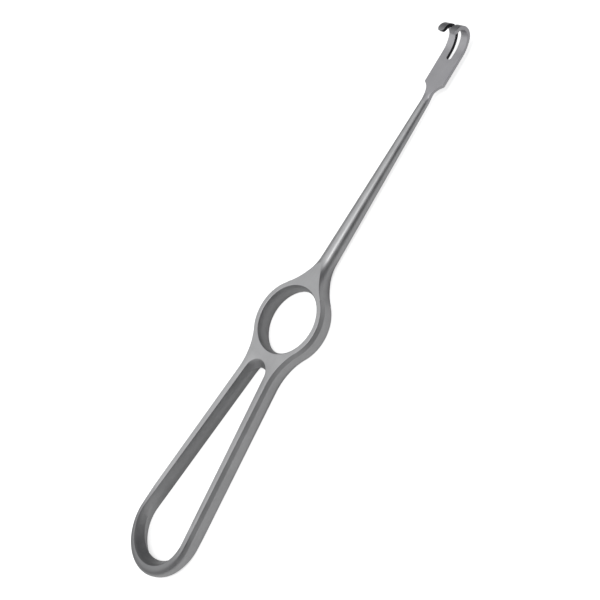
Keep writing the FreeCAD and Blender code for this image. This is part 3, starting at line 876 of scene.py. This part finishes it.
# %% [markdown]
# ## Lamp and room
#
# Satin steel needs large soft lights, because a small bare lamp shows as a hard spot. One soft
# lamp hangs over the tool, a little to the near side, and draws the highlight along the shaft.
# The rest is the room: pale above and behind the tool and dark on the near side, so that the
# flat lands mirror a pale wall and the bevels a dark one. To the camera the room is white, so
# that the picture has one white background from every side.

# %% Hang the lamp
LAMP_PLACE = Vector((0.0, -0.22, 0.56))
LAMP_SIZE = (0.20, 0.06)
LAMP_POWER = 0.7


def hang_lamp():
    """A wide soft lamp that looks at the middle of the tool."""
    data = bpy.data.lights.new("soft_lamp", "AREA")
    data.shape = "RECTANGLE"
    data.size, data.size_y = LAMP_SIZE
    data.energy = LAMP_POWER
    holder = bpy.data.objects.new("soft_lamp", data)
    holder.location = LAMP_PLACE
    holder.rotation_euler = (-LAMP_PLACE).to_track_quat("-Z", "Y").to_euler()
    bpy.context.scene.collection.objects.link(holder)


hang_lamp()
print(f"the lamp hangs {LAMP_PLACE.length * 100:.0f} cm from the tool")

# %% Light the room
# How far a direction looks towards the bright side, and the room's grey there.
BRIGHT_SIDE = (-0.30, 0.32, 0.90)
AIR_STEPS = (
    (0.0, (0.07, 0.07, 0.075, 1.0)),
    (0.25, (0.14, 0.14, 0.145, 1.0)),
    (0.65, (0.42, 0.425, 0.43, 1.0)),
    (0.92, (0.95, 0.955, 0.96, 1.0)),
)


def studio_air():
    """A room that is pale above and behind the tool and dark on the near side."""
    world = bpy.data.worlds.new("studio_air")
    bpy.context.scene.world = world
    world.use_nodes = True
    tree = world.node_tree
    air = tree.nodes["Background"]
    coordinates = add(tree, "ShaderNodeTexCoord", (-900, 0))
    towards = add(tree, "ShaderNodeVectorMath", (-700, 0))
    towards.operation = "DOT_PRODUCT"
    towards.inputs[1].default_value = BRIGHT_SIDE
    tree.links.new(coordinates.outputs["Generated"], towards.inputs[0])
    ramp = add(tree, "ShaderNodeValToRGB", (-500, 0))
    tree.links.new(towards.outputs["Value"], ramp.inputs["Fac"])
    stops = ramp.color_ramp.elements
    while len(stops) < len(AIR_STEPS):
        stops.new(0.5)
    for stop, (reach, colour) in zip(stops, AIR_STEPS):
        stop.position = reach
        stop.color = colour
    path = add(tree, "ShaderNodeLightPath", (-500, 300))
    seen = blended(tree, path.outputs["Is Camera Ray"], ramp.outputs["Color"], WHITE, (-200, 0))
    tree.links.new(seen, air.inputs["Color"])


studio_air()
print(f"the room has {len(AIR_STEPS)} greys")

# %% [markdown]
# ## The camera
#
# The photograph looks down on the tool from the side of the finger ring, with the loop low on
# the left and the prongs high on the right. The camera stands at that place and looks the same
# way, with a wider lens so that the whole tool fits. Shifting the lens instead of turning the
# camera centres the tool and keeps the photograph's perspective.

# %% Place the camera
CAMERA_PLACE = Vector((-0.0067, -0.2137, 0.22605))
IMAGE_RIGHT = Vector((0.515, -0.648, -0.561))
IMAGE_DOWN = Vector((-0.853, -0.321, -0.413))
IMAGE_PIXELS = 600
FOCAL_PIXELS = 885.0
SENSOR_WIDTH = 36.0
NEAREST_SEEN = 0.01


def aimed_camera():
    """A camera whose picture axes are the photograph's, and its three directions."""
    right = IMAGE_RIGHT.normalized()
    forward = right.cross(IMAGE_DOWN).normalized()
    up = right.cross(forward)
    data = bpy.data.cameras.new("camera")
    data.sensor_width = SENSOR_WIDTH
    data.lens = SENSOR_WIDTH * FOCAL_PIXELS / IMAGE_PIXELS
    data.clip_start = NEAREST_SEEN
    holder = bpy.data.objects.new("camera", data)
    bpy.context.scene.collection.objects.link(holder)
    turn = Matrix((right, up, -forward)).transposed()
    holder.matrix_world = Matrix.Translation(CAMERA_PLACE) @ turn.to_4x4()
    bpy.context.scene.camera = holder
    return holder, right, up, forward


camera, right, up, forward = aimed_camera()

# %% Centre the tool in the picture
def in_picture(point):
    """Where a point falls from the picture's middle, in pixels, before the lens is shifted."""
    ray = point - CAMERA_PLACE
    return Vector((ray.dot(right), ray.dot(up))) * (FOCAL_PIXELS / ray.dot(forward))


spots = [in_picture(vert.co) for node in nodes.values() for vert in node.data.vertices]
low_spot = Vector((min(spot.x for spot in spots), min(spot.y for spot in spots)))
high_spot = Vector((max(spot.x for spot in spots), max(spot.y for spot in spots)))
middle = (low_spot + high_spot) / 2
camera.data.shift_x = middle.x / IMAGE_PIXELS
camera.data.shift_y = middle.y / IMAGE_PIXELS
bpy.context.scene.view_settings.view_transform = "Standard"
taken = high_spot - low_spot
print(f"the tool takes {taken.x:.0f} by {taken.y:.0f} of {IMAGE_PIXELS} pixels")
